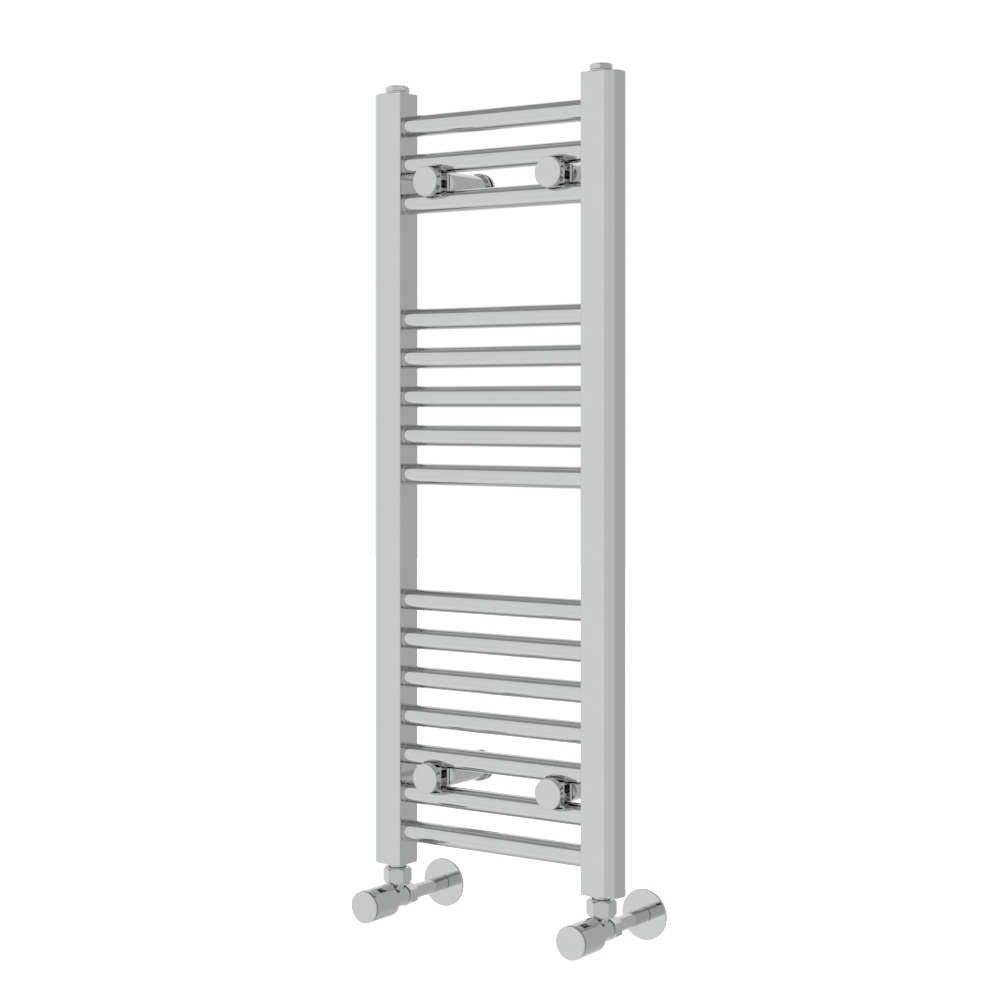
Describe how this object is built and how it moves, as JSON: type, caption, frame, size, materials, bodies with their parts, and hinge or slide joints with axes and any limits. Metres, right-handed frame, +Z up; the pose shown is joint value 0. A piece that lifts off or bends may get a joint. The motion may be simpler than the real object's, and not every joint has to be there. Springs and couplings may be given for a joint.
{
  "type": "towel radiator with angled valves",
  "caption": "Chrome ladder towel radiator with D-section uprights, round bars in groups, wall brackets and angled valves with round knobs.",
  "frame": {"origin": "on the wall plane, midway between the two supply pipes, at the height of their axes", "axes": "+X to the right as seen from the room, +Y into the wall, +Z up along the uprights"},
  "size_m": [0.3012, 0.1391, 0.8697],
  "materials": {
    "chrome_tube": "polished chrome plate on steel tube",
    "chrome_fitting": "polished chrome plate on turned brass",
    "chrome_knob": "polished chrome plate, turned groove behind the end disc",
    "brass": "turned brass, unplated",
    "steel": "blackened steel screws"
  },
  "bodies": {
    "rail": {"upright_left": "chrome_tube", "upright_right": "chrome_tube", "bar_01": "chrome_tube", "bar_02": "chrome_tube", "bar_03": "chrome_tube", "bar_04": "chrome_tube", "bar_05": "chrome_tube", "bar_06": "chrome_tube", "bar_07": "chrome_tube", "bar_08": "chrome_tube", "bar_09": "chrome_tube", "bar_10": "chrome_tube", "bar_11": "chrome_tube", "bar_12": "chrome_tube", "bar_13": "chrome_tube", "bar_14": "chrome_tube", "bar_15": "chrome_tube", "vent_plug": "chrome_fitting", "blank_plug": "chrome_fitting", "bracket_top_left_front_clamp": "chrome_fitting", "bracket_top_left_arm": "chrome_fitting", "bracket_top_left_grub_screw": "steel", "bracket_top_left_clamp_screw": "steel", "bracket_top_right_front_clamp": "chrome_fitting", "bracket_top_right_arm": "chrome_fitting", "bracket_top_right_grub_screw": "steel", "bracket_top_right_clamp_screw": "steel", "bracket_bottom_left_front_clamp": "chrome_fitting", "bracket_bottom_left_arm": "chrome_fitting", "bracket_bottom_left_grub_screw": "steel", "bracket_bottom_left_clamp_screw": "steel", "bracket_bottom_right_front_clamp": "chrome_fitting", "bracket_bottom_right_arm": "chrome_fitting", "bracket_bottom_right_grub_screw": "steel", "bracket_bottom_right_clamp_screw": "steel", "lock_valve_body": "chrome_fitting", "lock_valve_tail": "chrome_fitting", "lock_valve_union_nut": "chrome_fitting", "lock_valve_headwork": "brass", "lock_valve_compression_nut": "chrome_fitting", "lock_valve_pipe": "chrome_tube", "wheel_valve_body": "chrome_fitting", "wheel_valve_tail": "chrome_fitting", "wheel_valve_union_nut": "chrome_fitting", "wheel_valve_headwork": "brass", "wheel_valve_compression_nut": "chrome_fitting", "wheel_valve_pipe": "chrome_tube"},
    "handwheel": {"wheel_valve_handwheel": "chrome_knob", "wheel_valve_spindle": "brass"},
    "wheel_jumper": {"wheel_valve_jumper": "brass"},
    "lock_cap": {"lock_valve_cap": "chrome_knob"},
    "lock_spindle": {"lock_valve_spindle": "brass"},
    "lock_jumper": {"lock_valve_jumper": "brass"},
    "bleed_screw": {"bleed_screw": "brass"},
    "lock_cover_plate": {"lock_valve_cover_plate": "chrome_tube"},
    "wheel_cover_plate": {"wheel_valve_cover_plate": "chrome_tube"},
    "wall_cup_top_left": {"bracket_top_left_wall_cup": "chrome_fitting"},
    "wall_cup_top_right": {"bracket_top_right_wall_cup": "chrome_fitting"},
    "wall_cup_bottom_left": {"bracket_bottom_left_wall_cup": "chrome_fitting"},
    "wall_cup_bottom_right": {"bracket_bottom_right_wall_cup": "chrome_fitting"}
  },
  "joints": [
    {"name": "handwheel_turn", "type": "hinge", "parent": "rail", "child": "handwheel", "pos_m": [0.125, -0.0825, 0], "axis": [0, -1, 0], "range_deg": [0, 900]},
    {"name": "wheel_jumper_lift", "type": "slide", "parent": "rail", "child": "wheel_jumper", "axis": [0, -1, 0], "range_m": [0, 0.0038]},
    {"name": "lock_cap_pull", "type": "slide", "parent": "rail", "child": "lock_cap", "axis": [0, -1, 0], "range_m": [0, 0.045]},
    {"name": "lock_spindle_turn", "type": "hinge", "parent": "rail", "child": "lock_spindle", "pos_m": [-0.125, -0.0825, 0], "axis": [0, -1, 0], "range_deg": [0, 900]},
    {"name": "lock_jumper_lift", "type": "slide", "parent": "rail", "child": "lock_jumper", "axis": [0, -1, 0], "range_m": [0, 0.00375]},
    {"name": "bleed_screw_turn", "type": "hinge", "parent": "rail", "child": "bleed_screw", "pos_m": [-0.125, -0.0825, 0.84], "axis": [0, 0, 1], "range_deg": [0, 360]},
    {"name": "lock_cover_plate_slide", "type": "slide", "parent": "rail", "child": "lock_cover_plate", "axis": [0, -1, 0], "range_m": [0, 0.055]},
    {"name": "wheel_cover_plate_slide", "type": "slide", "parent": "rail", "child": "wheel_cover_plate", "axis": [0, -1, 0], "range_m": [0, 0.055]},
    {"name": "wall_cup_top_left_slide", "type": "slide", "parent": "rail", "child": "wall_cup_top_left", "axis": [0, 1, 0], "range_m": [-0.003, 0.01]},
    {"name": "wall_cup_top_right_slide", "type": "slide", "parent": "rail", "child": "wall_cup_top_right", "axis": [0, 1, 0], "range_m": [-0.003, 0.01]},
    {"name": "wall_cup_bottom_left_slide", "type": "slide", "parent": "rail", "child": "wall_cup_bottom_left", "axis": [0, 1, 0], "range_m": [-0.003, 0.01]},
    {"name": "wall_cup_bottom_right_slide", "type": "slide", "parent": "rail", "child": "wall_cup_bottom_right", "axis": [0, 1, 0], "range_m": [-0.003, 0.01]}
  ],
  "couplings": [
    {"joint": "wheel_jumper_lift", "follows": "handwheel_turn", "m_per_rad": 0.00023873},
    {"joint": "lock_spindle_turn", "follows": "lock_jumper_lift", "rad_per_m": 4188.8},
    {"joint": "wall_cup_top_right_slide", "follows": "wall_cup_top_left_slide", "ratio": 1},
    {"joint": "wall_cup_bottom_left_slide", "follows": "wall_cup_top_left_slide", "ratio": 1},
    {"joint": "wall_cup_bottom_right_slide", "follows": "wall_cup_top_left_slide", "ratio": 1}
  ]
}
